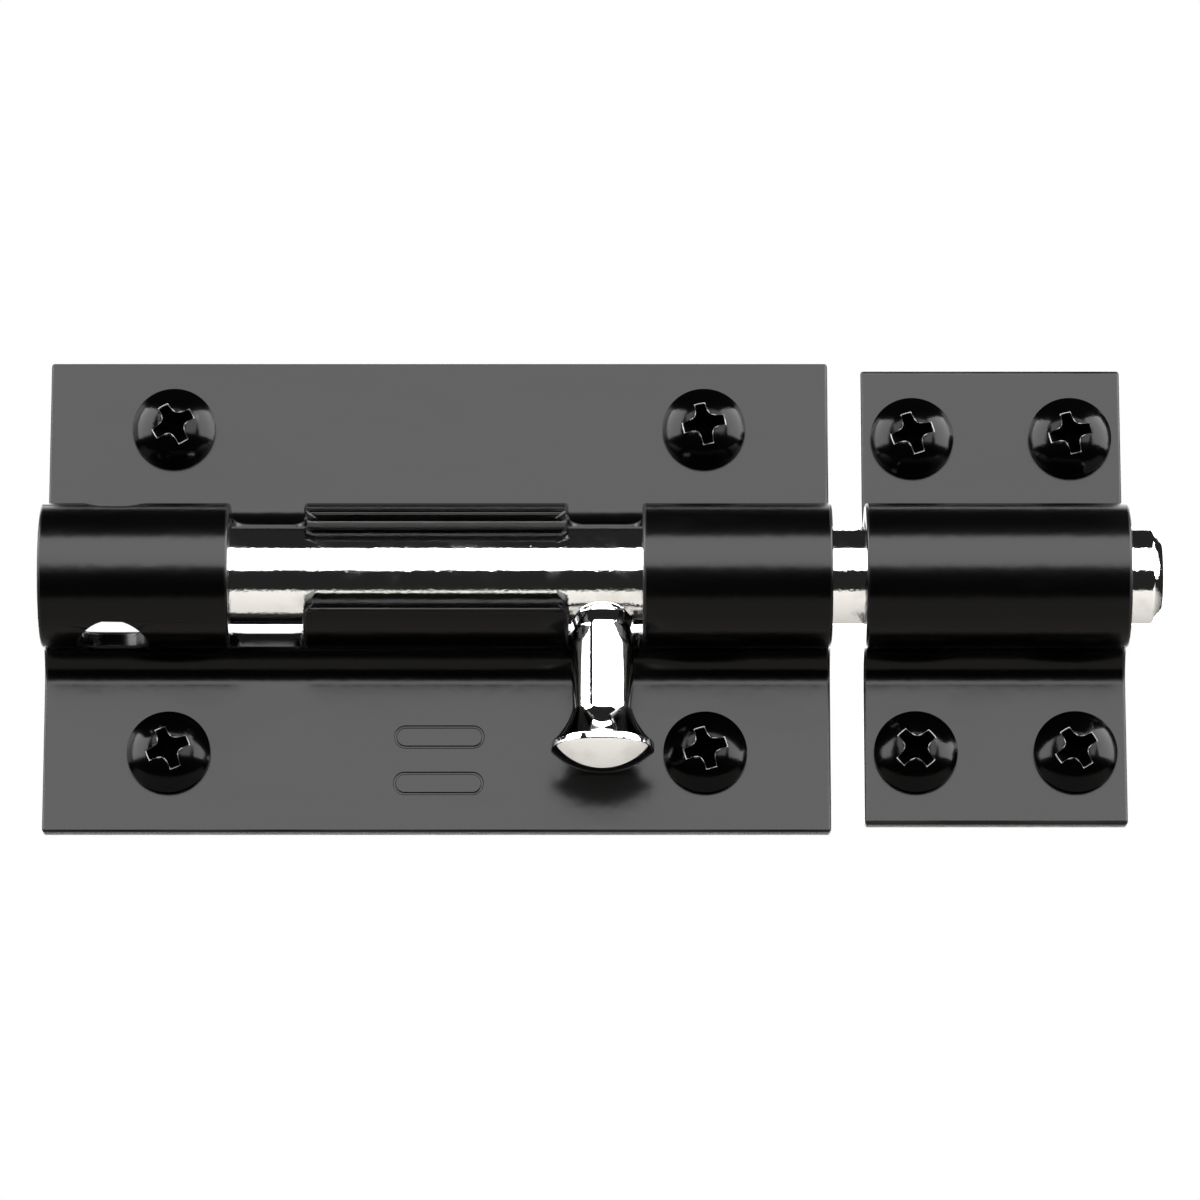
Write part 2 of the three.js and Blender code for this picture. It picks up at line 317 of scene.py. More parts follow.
@dataclass(frozen=True)
class BlackScrewCoat:
    """Glossy black coat on a rolled steel screw, thin on its sharp edges, with painted shade deep in its
    cross recess.
    """

    coat: Colour = (0.0002, 0.0002, 0.0002)
    worn: Colour = (0.08, 0.078, 0.075)
    sheen: float = 0.07           # the shader's own scale, where 0.5 is a plain varnish
    roughness: float = 0.14
    roughness_spread: float = 0.12
    pit_size: float = 0.55 * MM
    pit_depth: float = 10 * MICRON
    blotch_size: float = 1.8 * MM

    def material(self) -> bpy.types.Material:
        """Makes the material."""
        recipe = Recipe(Slot.SCREW.value)
        blotch = recipe.noise(self.blotch_size, 4.0)
        pits = recipe.noise(self.pit_size, 3.0)
        edge = recipe.marked(EDGE_MARK) * blotch.above(edge=0.42, softness=0.25)
        colour = recipe.blend(edge, self.coat, self.worn)
        # Painted shade: the deep recess faces become black metal with more roughness, so they reflect nothing
        # and stay dark.
        painted_recess_shade = recipe.marked(RECESS_SHADE_MARK)
        rough = self.roughness + (blotch - 0.5) * self.roughness_spread + edge * 0.08 + painted_recess_shade * 0.5
        recipe.mirror_strength(self.sheen)
        return recipe.finish(
            base_color=colour,
            metallic=edge * 0.7 + painted_recess_shade,
            roughness=rough,
            normal=recipe.relief(pits, self.pit_depth),
        )


@dataclass(frozen=True)
class PaleFloor:
    """Matt pale paper for the studio floor."""

    paper: Colour = (0.165, 0.157, 0.146)
    shaded: Colour = (0.155, 0.1475, 0.138)
    fibre_size: float = 2.5 * MM
    fibre_depth: float = 60 * MICRON

    def material(self) -> bpy.types.Material:
        """Makes the material."""
        recipe = Recipe("studio_floor")
        fibre = recipe.noise(self.fibre_size, 5.0)
        return recipe.finish(
            base_color=recipe.blend(fibre, self.paper, self.shaded),
            roughness=0.7 + fibre * 0.2,
            normal=recipe.relief(fibre, self.fibre_depth),
        )


# -------- workpieces


class Workpiece:
    """One mesh on the bench, shaped with edit-mode operators and modifiers."""

    def __init__(self, name: str) -> None:
        """Takes over the primitive that was just added, with its place moved into its mesh."""
        self.obj = bpy.context.object
        self.obj.name = name
        self.obj.data.name = name
        bpy.ops.object.transform_apply(location=True, rotation=True, scale=True)

    @contextmanager
    def editing(self, picked: Picked = Picked.VERTICES) -> Iterator[None]:
        """Edit mode on this piece alone, with one kind of selection."""
        self.take()
        bpy.ops.object.mode_set(mode="EDIT")
        bpy.ops.mesh.select_mode(type=picked.value)
        yield
        bpy.ops.object.mode_set(mode="OBJECT")

    def take(self) -> None:
        """Selects this piece and nothing else."""
        bpy.ops.object.select_all(action="DESELECT")
        self.obj.select_set(True)
        bpy.context.view_layer.objects.active = self.obj

    def pick(self, picked: Picked, wanted: Callable[[list[Vector]], bool]) -> None:
        """Selects, in edit mode, what passes a test on its corners.

        Args:
            picked: the kind of element to test.
            wanted: takes the element's corners and says whether to select it.
        """
        mesh = bmesh.from_edit_mesh(self.obj.data)
        for element in (*mesh.verts, *mesh.edges, *mesh.faces):
            element.select = False
        mesh.select_mode = {picked.value}
        pools = {Picked.VERTICES: mesh.verts, Picked.EDGES: mesh.edges, Picked.FACES: mesh.faces}
        for element in pools[picked]:
            corners = [element.co] if picked is Picked.VERTICES else [v.co for v in element.verts]
            if wanted(corners):
                element.select_set(True)
        mesh.select_flush_mode()
        bmesh.update_edit_mesh(self.obj.data)

    def two_materials(self) -> None:
        """Gives the piece two empty material places, so that new faces can be told from old ones."""
        self.obj.data.materials.clear()
        for _ in range(2):
            self.obj.data.materials.append(None)

    def modify(self, kind: str, **settings: object) -> None:
        """Adds a modifier with its settings and applies it."""
        self.take()
        modifier = self.obj.modifiers.new(kind.lower(), kind)
        for key, setting in settings.items():
            setattr(modifier, key, setting)
        bpy.ops.object.modifier_apply(modifier=modifier.name)

    def cut(self, *tools: "Workpiece") -> None:
        """Subtracts each tool and throws it away."""
        for tool in tools:
            self.modify("BOOLEAN", operation="DIFFERENCE", solver="EXACT", object=tool.obj)
            bpy.data.objects.remove(tool.obj)

    def add(self, *others: "Workpiece") -> None:
        """Welds other pieces to this one."""
        for other in others:
            self.modify("BOOLEAN", operation="UNION", solver="EXACT", object=other.obj)
            bpy.data.objects.remove(other.obj)

    def clean(self, distance: float = SNAP) -> None:
        """Merges stray doubles and points every face outwards."""
        with self.editing():
            bpy.ops.mesh.select_all(action="SELECT")
            bpy.ops.mesh.remove_doubles(threshold=distance)
            bpy.ops.mesh.normals_make_consistent(inside=False)

    def bevel(self, width: float, segments: int, sharper_than: float, **settings: object) -> None:
        """Rounds every edge sharper than an angle, in degrees."""
        self.modify(
            "BEVEL",
            width=width,
            segments=segments,
            limit_method="ANGLE",
            angle_limit=math.radians(sharper_than),
            use_clamp_overlap=False,
            **settings,
        )

    def round_edges(self, width: float, segments: int, sharper_than: float) -> None:
        """Rounds the edges as bevel() does, and marks the faces that this makes."""
        self.two_materials()
        self.bevel(width, segments, sharper_than, material=1)
        faces = self.obj.data.polygons
        mark = self.obj.data.attributes.new(EDGE_MARK, "FLOAT", "FACE")
        for face in faces:
            mark.data[face.index].value = float(face.material_index == 1)
            face.material_index = 0

    def smooth(self, sharp_angle: float = 40.0) -> None:
        """Shades the piece smooth, with its sharp edges kept and broad faces leading."""
        self.take()
        bpy.ops.object.shade_smooth_by_angle(angle=math.radians(sharp_angle))
        self.modify("WEIGHTED_NORMAL", mode="FACE_AREA", weight=60, keep_sharp=True)

    def copy(self, name: str) -> "Workpiece":
        """A second piece like this one, with a mesh of its own."""
        self.take()
        bpy.ops.object.duplicate(linked=False)
        return Workpiece(name)

    def register(self, body: Body, slot: Slot, node: str, material: bpy.types.Material) -> None:
        """Dresses the finished piece and ties it to the frame.

        Args:
            body: the body that it moves with.
            slot: the record's slot that it stands for, which is named only in the log.
            node: the CAD node that it stands for.
            material: its material.
        """
        self.obj.data.materials.clear()
        self.obj.data.materials.append(material)
        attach(self.obj, body.value)
        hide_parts(node)
        faces = len(self.obj.data.polygons)
        log.info("%s rides on %s in %s, %d faces", self.obj.name, body.value, slot.value, faces)


def new_block(name: str, low: Vector, high: Vector) -> Workpiece:
    """A block between two corners, as a start for a cutting tool.

    Args:
        name: the block's name.
        low: its lowest corner.
        high: its highest corner.

    Returns:
        The block.
    """
    bpy.ops.object.select_all(action="DESELECT")
    bpy.ops.mesh.primitive_cube_add(size=1.0, location=(low + high) / 2, scale=high - low)
    return Workpiece(name)


def new_bar(name: str, radius: float, start: Vector, end: Vector, sides: int) -> Workpiece:
    """A round bar between two points, as a start for a cutting tool.

    Args:
        name: the bar's name.
        radius: its radius.
        start: the centre of one end.
        end: the centre of the other.
        sides: how many sides it has.

    Returns:
        The bar.
    """
    bpy.ops.object.select_all(action="DESELECT")
    turn = (end - start).to_track_quat("Z", "Y").to_euler()
    bpy.ops.mesh.primitive_cylinder_add(
        vertices=sides, radius=radius, depth=(end - start).length, location=(start + end) / 2, rotation=turn
    )
    return Workpiece(name)


@dataclass(frozen=True)
class Ring:
    """One ring of a turned outline: how far along the axis it lies, and its radius."""

    along: float
    radius: float


def turn_piece(name: str, base: Vector, axis: Vector, rings: list[Ring], sides: int) -> Workpiece:
    """Turns a solid as on a lathe: a disc, drawn out and sized ring by ring.

    Args:
        name: the piece's name.
        base: where the distances along the axis start.
        axis: the direction of the axis.
        rings: the outline's rings, in order; a ring of radius 0 closes to a point.
        sides: how many sides the piece has.

    Returns:
        The closed piece.
    """
    turn = axis.to_track_quat("Z", "Y").to_euler()
    start = base + axis * rings[0].along
    bpy.ops.object.select_all(action="DESELECT")
    bpy.ops.mesh.primitive_circle_add(
        vertices=sides, radius=rings[0].radius, fill_type="NGON", location=start, rotation=turn
    )
    piece = Workpiece(name)
    with piece.editing(Picked.FACES):
        bpy.ops.mesh.select_all(action="SELECT")
        for last, ring in zip(rings, rings[1:]):
            step = axis * (ring.along - last.along)
            scale = max(ring.radius, SNAP / 2) / last.radius
            bpy.ops.mesh.extrude_region_move(TRANSFORM_OT_translate={"value": step})
            bpy.ops.transform.resize(value=(scale,) * 3, center_override=base + axis * ring.along)
    piece.clean()
    return piece


# -------- pressed plates


@dataclass
class Section:
    """The section that case and keeper share: two flanges and a barrel, bent from one sheet."""

    sheet: float = 2.2 * MM
    bend_radius: float = 3.66 * MM      # on the front face
    neck_lean: float = math.radians(13.7)
    axis_height: float = 11.0 * MM
    rod_radius: float = 6.35 * MM
    bore_clearance: float = 0.8 * MM
    barrel_steps: int = 72
    bend_steps: int = 14

    @property
    def inner(self) -> float:
        """Radius of the barrel's inside."""
        return self.rod_radius + self.bore_clearance

    @property
    def outer(self) -> float:
        """Radius of the barrel's outside."""
        return self.inner + self.sheet

    @property
    def axis(self) -> Vector:
        """A point on the rod's axis, level with the origin."""
        return Vector((0, -self.axis_height, 0))

    @property
    def wrap(self) -> float:
        """Angle from straight out to where the barrel's arc ends, each side."""
        return QUARTER_TURN + self.neck_lean

    @property
    def neck(self) -> float:
        """Length of the straight neck between the barrel's arc and the bend."""
        reach = self.outer + self.bend_radius
        drop = self.axis_height - self.sheet - self.bend_radius + reach * math.cos(self.wrap)
        return drop / math.sin(self.wrap)

    @property
    def flange_start(self) -> float:
        """Where each flange's flat begins, up or down from the axis."""
        reach = self.outer + self.bend_radius
        return reach * math.sin(self.wrap) + self.neck * math.cos(self.wrap)


@dataclass
class PressedPlate:
    """A plate pressed from sheet, with flanges, a barrel and screw holes."""

    node: str
    name: str
    section: Section
    hole_radius: float = 3.05 * MM
    edge_radius: float = 0.42 * MM
    edge_segments: int = 3
    sharp_angle: float = 32.0
    hole_sides: int = 48

    def __post_init__(self) -> None:
        """Reads the plate's place from the frame."""
        low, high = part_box(self.node)
        self.left, self.right = low.x, high.x
        self.half_height = (high.z - low.z) / 2

    def bend_sheet(self) -> Workpiece:
        """Bends the front face from a flat strip, then gives it the sheet's thickness."""
        s = self.section
        length = self.right - self.left
        flat = self.half_height - s.flange_start
        bpy.ops.object.select_all(action="DESELECT")
        bpy.ops.mesh.primitive_plane_add(
            size=1.0,
            location=((self.left + self.right) / 2, -s.sheet, -(s.flange_start + flat / 2)),
            rotation=(QUARTER_TURN, 0, 0),
        )
        bpy.context.object.scale = (length, flat, 1.0)
        plate = Workpiece(self.name)
        bend_height = s.sheet + s.bend_radius
        lower = Vector((0, -bend_height, -s.flange_start))
        upper = Vector((0, -bend_height, s.flange_start))
        slope = Vector((0, -math.sin(s.wrap), math.cos(s.wrap)))
        with plate.editing(Picked.EDGES):
            plate.pick(Picked.EDGES, lambda ends: all(abs(v.z + s.flange_start) < SNAP for v in ends))
            self._bend(lower, -s.wrap, s.bend_steps)
            self._draw_out(slope * s.neck)
            self._bend(s.axis, 2 * s.wrap, s.barrel_steps)
            self._draw_out(Vector((0, -slope.y, slope.z)) * s.neck)
            self._bend(upper, -s.wrap, s.bend_steps)
            self._draw_out(Vector((0, 0, flat)))
            bpy.ops.mesh.select_all(action="SELECT")
            bpy.ops.mesh.remove_doubles(threshold=SNAP)
        self._face_front(plate)
        plate.modify("SOLIDIFY", thickness=s.sheet, offset=-1.0, use_even_offset=True)
        return plate

    @staticmethod
    def _bend(centre: Vector, angle: float, steps: int) -> None:
        """Spins the selected edge about a line along X."""
        bpy.ops.mesh.spin(steps=steps, angle=angle, center=centre, axis=X_AXIS)

    @staticmethod
    def _draw_out(step: Vector) -> None:
        """Extrudes the selected edge."""
        bpy.ops.mesh.extrude_region_move(TRANSFORM_OT_translate={"value": step})

    @staticmethod
    def _face_front(plate: Workpiece) -> None:
        """Makes the open strip's faces agree, with the lower flange's facing away from the door."""
        with plate.editing(Picked.FACES):
            bpy.ops.mesh.select_all(action="SELECT")
            bpy.ops.mesh.normals_make_consistent(inside=False)
        lowest = min(plate.obj.data.polygons, key=lambda face: face.center.z)
        if lowest.normal.y > 0:
            with plate.editing(Picked.FACES):
                bpy.ops.mesh.select_all(action="SELECT")
                bpy.ops.mesh.flip_normals()

    def hole_drills(self, screws: list[str]) -> list[Workpiece]:
        """A drill for each screw hole, placed from the screws' own boxes."""
        drills = []
        for screw in screws:
            low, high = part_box(screw)
            centre = (low + high) / 2
            back = Vector((centre.x, OVERRUN, centre.z))
            front = Vector((centre.x, -self.section.sheet - OVERRUN, centre.z))
            drills.append(new_bar("drill", self.hole_radius, back, front, self.hole_sides))
        return drills

    def trim(self, plate: Workpiece) -> None:
        """Cuts what this plate alone has; a plain plate has nothing."""

    def stamp(self, plate: Workpiece) -> None:
        """Presses this plate's marks, once its edges are rounded; a plain plate has none."""

    def build(self, screws: list[str], material: bpy.types.Material) -> None:
        """Makes and dresses the plate.

        Args:
            screws: the CAD nodes of the screws that hold it.
            material: its finish.
        """
        plate = self.bend_sheet()
        self.trim(plate)
        plate.cut(*self.hole_drills(screws))
        plate.clean(2 * SNAP)
        plate.round_edges(self.edge_radius, self.edge_segments, self.sharp_angle)
        self.stamp(plate)
        plate.smooth()
        plate.register(Body.CASE, Slot.ENAMEL, self.node, material)


@dataclass
class CasePlate(PressedPlate):
    """The case: its barrel is slotted for the knob's shank, with a notch at each end of the slot."""

    notch_centre: float = 21.73 * MM
    notch_half_width: float = 4.77 * MM
    notch_floor: float = 6.5 * MM
    notch_corner: float = 2.0 * MM
    lip_corner: float = 1.0 * MM
    corner_segments: int = 6
    padlock_radius: float = 4.2 * MM
    padlock_inset: float = 9.4 * MM
    padlock_offset: float = 1.0 * MM
    stamp_places: tuple[tuple[float, float], ...] = ((0.3 * MM, -19.1 * MM), (0.2 * MM, -25.3 * MM))
    stamp_length: float = 11.6 * MM
    stamp_height: float = 3.0 * MM
    stamp_line: float = 0.30 * MM
    stamp_depth: float = 0.10 * MM
    stamp_edge: float = 0.09 * MM
    stamp_roundness: float = 0.96         # 1 makes each end a full half circle
    stamp_end_segments: int = 8
    stamp_edge_segments: int = 2

    @property
    def slot_half_width(self) -> float:
        """The notch's half width, scaled from the barrel's inside to its outside."""
        return self.section.outer * self.notch_half_width / self.section.inner

    def slot_tool(self) -> Workpiece:
        """A block from the rod's axis outwards, as long as the slot between the notches."""
        s = self.section
        low = Vector((-self.notch_centre, -s.axis_height - s.outer - OVERRUN, -self.slot_half_width))
        high = Vector((self.notch_centre, -s.axis_height, self.slot_half_width))
        return new_block("slot_tool", low, high)

    def notch_tool(self, side: int) -> Workpiece:
        """A block for one notch, with the corners of its floor rounded."""
        s = self.section
        middle = side * self.notch_centre
        far = s.outer + OVERRUN
        low = Vector((middle - self.notch_half_width, -s.axis_height - far, -far))
        high = Vector((middle + self.notch_half_width, -self.notch_floor, far))
        tool = new_block("notch_tool", low, high)
        with tool.editing(Picked.EDGES):
            tool.pick(Picked.EDGES, self._is_floor_corner)
            bpy.ops.mesh.bevel(offset=self.notch_corner, segments=self.corner_segments, affect="EDGES")
        return tool

    def _is_floor_corner(self, ends: list[Vector]) -> bool:
        """True for an edge that runs along Z at the notch's floor."""
        on_floor = all(abs(v.y + self.notch_floor) < SNAP for v in ends)
        return on_floor and abs(ends[0].x - ends[1].x) < SNAP

    def _is_lip_corner(self, ends: list[Vector]) -> bool:
        """True for an edge of the joined tool where the slot's face meets a notch."""
        inboard = self.notch_centre - self.notch_half_width
        at_mouth = all(abs(abs(v.x) - inboard) < SNAP for v in ends)
        at_face = all(abs(abs(v.z) - self.slot_half_width) < SNAP for v in ends)
        return at_mouth and at_face

    def mouth_tool(self) -> Workpiece:
        """The slot and both notches as one tool, rounded where they meet."""
        tool = self.slot_tool()
        for side in (-1, 1):
            tool.add(self.notch_tool(side))
        tool.clean()
        with tool.editing(Picked.EDGES):
            tool.pick(Picked.EDGES, self._is_lip_corner)
            bpy.ops.mesh.bevel(offset=self.lip_corner, segments=self.corner_segments, affect="EDGES")
        return tool

    def padlock_drill(self) -> Workpiece:
        """A drill for the padlock's hole, up through both sides of the barrel."""
        s = self.section
        x = self.left + self.padlock_inset
        y = -(s.axis_height + self.padlock_offset)
        far = s.outer + OVERRUN
        start, end = Vector((x, y, -far)), Vector((x, y, far))
        return new_bar("padlock_drill", self.padlock_radius, start, end, self.hole_sides)

    def stamp_tool(self, x: float, z: float) -> Workpiece:
        """A shallow outline with round ends, as one plain stamped mark."""
        outer = self._stamp_block(x, z, 0.0)
        inner = self._stamp_block(x, z, self.stamp_line)
        outer.cut(inner)
        return outer

    def _stamp_block(self, x: float, z: float, inset: float) -> Workpiece:
        """A block with round ends that dips into the sheet by the stamp's depth."""
        front = -self.section.sheet
        half = Vector((self.stamp_length / 2 - inset, 0, self.stamp_height / 2 - inset))
        deeper = inset * 0.5
        low = Vector((x - half.x, front - MM - deeper, z - half.z))
        high = Vector((x + half.x, front + self.stamp_depth + deeper, z + half.z))
        block = new_block("stamp", low, high)
        with block.editing(Picked.EDGES):
            block.pick(Picked.EDGES, lambda ends: abs(ends[0].y - ends[1].y) > SNAP)
            offset = half.z * self.stamp_roundness
            bpy.ops.mesh.bevel(offset=offset, segments=self.stamp_end_segments, affect="EDGES")
        return block

    def trim(self, plate: Workpiece) -> None:
        """Cuts the slot, the notches and the padlock's hole."""
        plate.cut(self.mouth_tool(), self.padlock_drill())

    def stamp(self, plate: Workpiece) -> None:
        """Presses the two plain marks into the lower flange and softens their edges."""
        plate.cut(*(self.stamp_tool(x, z) for x, z in self.stamp_places))
        plate.bevel(self.stamp_edge, self.stamp_edge_segments, self.sharp_angle)


# -------- rod and knob


@dataclass
class SlidingRod:
    """The round rod, chamfered at both ends."""

    chamfer: float = 1.3 * MM
    edge_radius: float = 0.22 * MM
    edge_segments: int = 3
    sharp_angle: float = 25.0
    sides: int = 128

    def build(self, material: bpy.types.Material) -> None:
        """Makes and dresses the rod."""
        low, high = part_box("bolt_rod")
        radius = (high.z - low.z) / 2
        length = high.x - low.x
        base = Vector((low.x, (low.y + high.y) / 2, 0))
        face = radius - self.chamfer
        rings = [
            Ring(0, face),
            Ring(self.chamfer, radius),
            Ring(length - self.chamfer, radius),
            Ring(length, face),
        ]
        rod = turn_piece("sliding_rod", base, Vector(X_AXIS), rings, self.sides)
        rod.round_edges(self.edge_radius, self.edge_segments, self.sharp_angle)
        rod.smooth()
        rod.register(Body.BOLT, Slot.PLATING, "bolt_rod", material)


@dataclass
class PullKnob:
    """The knob: a shank saddled on the rod, a hollow flare, a short rim and a shallow dome."""

    section: Section
    shank_radius: float = 4.0 * MM
    foot_share: float = 0.5               # the foot starts at this share of the rod's radius
    foot_radius: float = 4.2 * MM
    collar_radius: float = 4.35 * MM
    collar_start: float = 5.55 * MM       # from the rod's axis
    collar_step: float = 0.05 * MM        # length over which the foot widens to the collar
    collar_fade: float = 1.8 * MM         # length over which the collar falls away to the groove
    groove_radius: float = 3.86 * MM
    groove_power: float = 1.5
    groove_rise: float = 0.6 * MM         # length over which the groove comes back to the shank
    collar_steps: int = 8
    flare_length: float = 4.4 * MM
    flare_power: float = 1.5
    rim_band: float = 0.9 * MM
    dome_rise: float = 2.6 * MM
    saddle_gap: float = 0.12 * MM
    saddle_sides: int = 128
    edge_radius: float = 0.16 * MM
    edge_segments: int = 3
    sharp_angle: float = 28.0
    curve_steps: int = 14
    sides: int = 96

    def rings(self, rim_radius: float, reach: float) -> list[Ring]:
        """The knob's outline, from inside the rod to the dome's top.

        Args:
            rim_radius: the rim's radius.
            reach: distance from the rod's axis to the dome's top.

        Returns:
            The rings, as distances from the rod's axis.
        """
        rim_top = reach - self.dome_rise
        rim_foot = rim_top - self.rim_band
        flare_foot = rim_foot - self.flare_length
        growth = rim_radius - self.shank_radius
        rings = [Ring(self.section.rod_radius * self.foot_share, self.foot_radius)]
        rings.append(Ring(self.collar_start - self.collar_step, self.foot_radius))
        fall = self.collar_radius - self.groove_radius
        for step in range(self.collar_steps + 1):
            share = step / self.collar_steps
            along = self.collar_start + self.collar_fade * share
            rings.append(Ring(along, self.groove_radius + fall * (1 - share) ** self.groove_power))
        rings.append(Ring(rings[-1].along + self.groove_rise, self.shank_radius))
        for step in range(self.curve_steps + 1):
            share = step / self.curve_steps
            radius = self.shank_radius + growth * share**self.flare_power
            rings.append(Ring(flare_foot + self.flare_length * share, radius))
        ball = (rim_radius**2 + self.dome_rise**2) / (2 * self.dome_rise)
        spread = math.asin(rim_radius / ball)
        for step in range(self.curve_steps + 1):
            angle = spread * (1 - step / self.curve_steps)
            rings.append(Ring(reach - ball * (1 - math.cos(angle)), ball * math.sin(angle)))
        return rings

    def build(self, material: bpy.types.Material) -> None:
        """Makes and dresses the knob."""
        s = self.section
        low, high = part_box("knob")
        middle = (low.x + high.x) / 2
        base = Vector((middle, -s.axis_height, 0))
        rings = self.rings((high.x - low.x) / 2, -low.z)
        knob = turn_piece("pull_knob", base, Vector((0, 0, -1)), rings, self.sides)
        reach = Vector((2 * s.outer, 0, 0))
        saddle_radius = s.rod_radius + self.saddle_gap
        knob.cut(new_bar("saddle_tool", saddle_radius, base - reach, base + reach, self.saddle_sides))
        knob.clean()
        knob.round_edges(self.edge_radius, self.edge_segments, self.sharp_angle)
        knob.smooth()
        knob.register(Body.KNOB, Slot.PLATING, "knob", material)


# -------- screws


@dataclass
class WoodScrew:
    """A pan-head wood screw with a cross recess and a rolled thread."""

    head_radius: float = 5.4 * MM
    head_height: float = 3.1 * MM
    head_edge: float = 0.6 * MM
    head_chamfer: float = 0.15 * MM       # under the head's edge
    shank_radius: float = 2.45 * MM
    core_radius: float = 1.85 * MM
    crest_radius: float = 2.70 * MM
    plain_length: float = 7.0 * MM
    shoulder: float = 0.8 * MM            # length over which the shank narrows to the core
    length: float = 25.0 * MM
    point_length: float = 6.0 * MM
    tip_radius: float = 0.25 * MM
    pitch: float = 2.0 * MM
    thread_base: float = 0.85 * MM
    thread_sunk: float = 0.35 * MM        # how deep the ridge's foot lies in the core
    thread_start: float = 0.2 * MM        # beyond the plain length
    thread_margin: float = 1.0 * MM       # kept free of thread at the tip
    thread_lead: float = 0.15             # share of its height that the ridge starts with
    thread_taper: float = 0.12            # share of its radius that it ends with
    recess_half_span: float = 3.3 * MM
    recess_arm: float = 1.6 * MM
    recess_depth: float = 2.5 * MM
    recess_floor: float = 0.30            # the floor's span as a share of the opening's
    recess_fillet: float = 1.0 * MM
    fillet_segments: int = 4
    edge_radius: float = 0.09 * MM
    edge_segments: int = 2
    sharp_angle: float = 50.0
    wear_depth: float = 1.0 * MM          # below the head's top
    head_sides: int = 64
    shank_sides: int = 32
    crown_steps: int = 12

    def blank(self) -> Workpiece:
        """Head and shank, turned about the Y axis with the head's underside at the origin."""
        crown = self.head_height - self.head_edge
        rings = [
            Ring(self.length, self.tip_radius),
            Ring(self.length - self.point_length, self.core_radius),
            Ring(self.plain_length, self.core_radius),
            Ring(self.plain_length - self.shoulder, self.shank_radius),
            Ring(0, self.shank_radius),
            Ring(-MICRON, self.head_radius - self.head_chamfer),
            Ring(-self.head_chamfer, self.head_radius),
            Ring(-self.head_edge, self.head_radius),
        ]
        ball = (self.head_radius**2 + crown**2) / (2 * crown)
        spread = math.asin(self.head_radius / ball)
        for step in range(1, self.crown_steps):
            angle = spread * (1 - step / self.crown_steps)
            along = -(self.head_height - ball * (1 - math.cos(angle)))
            rings.append(Ring(along, ball * math.sin(angle)))
        return turn_piece("wood_screw", Vector(), Vector((0, 1, 0)), rings, self.head_sides)

    def thread(self) -> Workpiece:
        """The thread's ridge: a three-cornered bead wound round the core, fading at both ends."""
        turns = int((self.length - self.plain_length - self.thread_margin) / self.pitch)
        start = self.plain_length + self.thread_start
        sunk = self.core_radius - self.thread_sunk
        bpy.ops.object.select_all(action="DESELECT")
        bpy.ops.mesh.primitive_circle_add(
            vertices=3, radius=self.thread_base, fill_type="NOTHING", location=(0, 0, 0)
        )
        bead = Workpiece("thread")
        corners = (
            Vector((sunk, start - self.thread_base / 2, 0)),
            Vector((sunk, start + self.thread_base / 2, 0)),
            Vector((self.crest_radius, start, 0)),
        )
        for vertex, corner in zip(bead.obj.data.vertices, corners):
            vertex.co = corner
        bead.modify(
            "SCREW",
            axis="Y",
            angle=FULL_TURN,
            screw_offset=self.pitch,
            iterations=turns,
            steps=self.shank_sides,
            render_steps=self.shank_sides,
            use_merge_vertices=False,
        )
        self._fade(bead, start)
        with bead.editing(Picked.EDGES):
            bpy.ops.mesh.select_all(action="DESELECT")
            bpy.ops.mesh.select_non_manifold()
            bpy.ops.mesh.fill()
            bpy.ops.mesh.select_all(action="SELECT")
            bpy.ops.mesh.normals_make_consistent(inside=False)
        return bead

    def _fade(self, bead: Workpiece, start: float) -> None:
        """Lowers the ridge where it starts and where the core tapers to its point."""
        for vertex in bead.obj.data.vertices:
            radius = math.hypot(vertex.co.x, vertex.co.z)
            along = vertex.co.y
            lead = min(max((along - start) / self.pitch, 0.0), 1.0)
            left = (self.length - along) / self.point_length
            taper = min(max(left, self.thread_taper), 1.0)
            target = radius * taper
            if radius > self.core_radius:
                share = self.thread_lead + (1 - self.thread_lead) * lead
                height = (radius - self.core_radius) * share
                target = (self.core_radius + height) * taper
            scale = target / radius
            vertex.co.x *= scale
            vertex.co.z *= scale

    def recess_tool(self) -> Workpiece:
        """Two crossed blades, narrow at the floor, whose meeting corners are filled out."""
        span, arm = self.recess_half_span, self.recess_arm / 2
        top = -self.head_height
        low_end, high_end = top + self.recess_depth, top - self.recess_depth
        blades = []
        for wide, deep in ((span, arm), (arm, span)):
            low = Vector((-wide, high_end, -deep))
            high = Vector((wide, low_end, deep))
            blades.append(new_block("recess_blade", low, high))
        tool = blades[0]
        tool.add(blades[1])
        tool.clean()
        with tool.editing(Picked.EDGES):
            tool.pick(Picked.EDGES, self._is_inner_corner)
            bpy.ops.mesh.bevel(offset=self.recess_fillet, segments=self.fillet_segments, affect="EDGES")
        with tool.editing():
            tool.pick(Picked.VERTICES, lambda at: at[0].y > top)
            bpy.ops.transform.resize(
                value=(self.recess_floor, 1, self.recess_floor), center_override=(0, low_end, 0)
            )
            grow = 2 - self.recess_floor
            tool.pick(Picked.VERTICES, lambda at: at[0].y < top)
            bpy.ops.transform.resize(value=(grow, 1, grow), center_override=(0, high_end, 0))
        return tool

    def _is_inner_corner(self, ends: list[Vector]) -> bool:
        """True for an upright edge where two blades of the recess tool meet."""
        upright = abs(ends[0].y - ends[1].y) > SNAP
        arm = self.recess_arm / 2
        return upright and all(abs(abs(v.x) - arm) < SNAP and abs(abs(v.z) - arm) < SNAP for v in ends)

    def master(self) -> Workpiece:
        """One finished screw at the origin, point towards +Y."""
        screw = self.blank()
        screw.add(self.thread())
        screw.cut(self.recess_tool())
        screw.clean(0.5 * SNAP)
        screw.round_edges(self.edge_radius, self.edge_segments, self.sharp_angle)
        self._paint_recess_shade(screw)
        return screw

